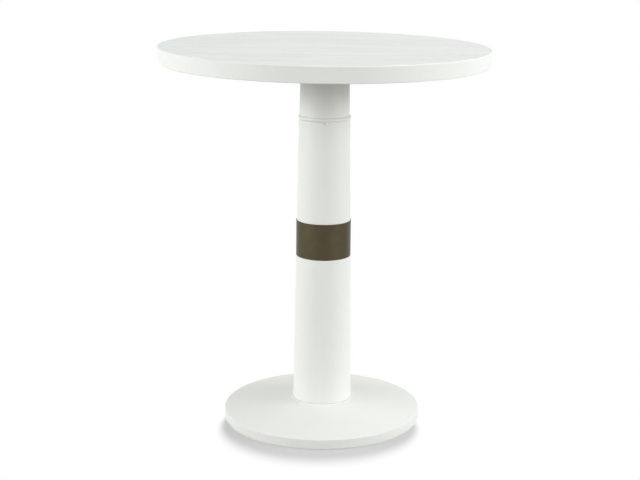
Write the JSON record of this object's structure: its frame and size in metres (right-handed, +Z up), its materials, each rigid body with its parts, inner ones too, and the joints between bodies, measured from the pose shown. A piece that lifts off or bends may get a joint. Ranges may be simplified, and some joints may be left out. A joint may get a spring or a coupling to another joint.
{
  "type": "pub table",
  "caption": "Tall round pedestal pub table with a white turned column, a dark bronze band, a deep-rimmed top and a weighted domed disc base.",
  "frame": {"origin": "on the floor, under the centre of the table's column, with the glides screwed fully in", "axes": "+Z up along the column; -Y is the front that faces the viewer; +X to the viewer's right, along the grain of the top"},
  "size_m": [0.9137, 0.9138, 1.067],
  "materials": {
    "brushed_oak_face": "white limed oak, wire brushed along the grain, satin lacquer",
    "painted_wood": "white satin lacquer over turned wood, faint grain",
    "core_board": "raw fibreboard",
    "sealed_backing": "sealed balancing veneer",
    "birch_plywood": "clear sealed birch plywood",
    "beech": "plain turned beech",
    "aged_bronze": "dark aged bronze, brushed round, satin",
    "zinc_steel": "zinc plated",
    "lacquered_steel": "white satin lacquer over steel",
    "coated_steel": "black powder coat, fine texture",
    "nylon": "moulded black nylon"
  },
  "bodies": {
    "table": {"face_veneer": "brushed_oak_face", "top_panel": "core_board", "top_rim": "painted_wood", "under_veneer": "sealed_backing", "cleat": "birch_plywood", "cleat_screws": "zinc_steel", "neck_dowels": "beech", "neck": "painted_wood", "bead_ring": "painted_wood", "neck_grub_screw": "lacquered_steel", "upper_column": "painted_wood", "band_core": "beech", "bronze_band": "aged_bronze", "lower_column": "painted_wood", "tie_rod": "zinc_steel", "rod_nuts": "zinc_steel", "rod_washers": "zinc_steel", "base_disc": "painted_wood", "ballast_plate": "coated_steel", "ballast_screws": "zinc_steel", "glide_inserts": "zinc_steel"},
    "glide_1": {"glide_stem_1": "zinc_steel", "glide_pad_1": "nylon"},
    "glide_2": {"glide_stem_2": "zinc_steel", "glide_pad_2": "nylon"},
    "glide_3": {"glide_stem_3": "zinc_steel", "glide_pad_3": "nylon"},
    "glide_4": {"glide_stem_4": "zinc_steel", "glide_pad_4": "nylon"}
  },
  "joints": [
    {"name": "glide_1_screw", "type": "slide", "parent": "table", "child": "glide_1", "axis": [0, 0, -1], "range_m": [0, 0.012]},
    {"name": "glide_2_screw", "type": "slide", "parent": "table", "child": "glide_2", "axis": [0, 0, -1], "range_m": [0, 0.012]},
    {"name": "glide_3_screw", "type": "slide", "parent": "table", "child": "glide_3", "axis": [0, 0, -1], "range_m": [0, 0.012]},
    {"name": "glide_4_screw", "type": "slide", "parent": "table", "child": "glide_4", "axis": [0, 0, -1], "range_m": [0, 0.012]}
  ]
}
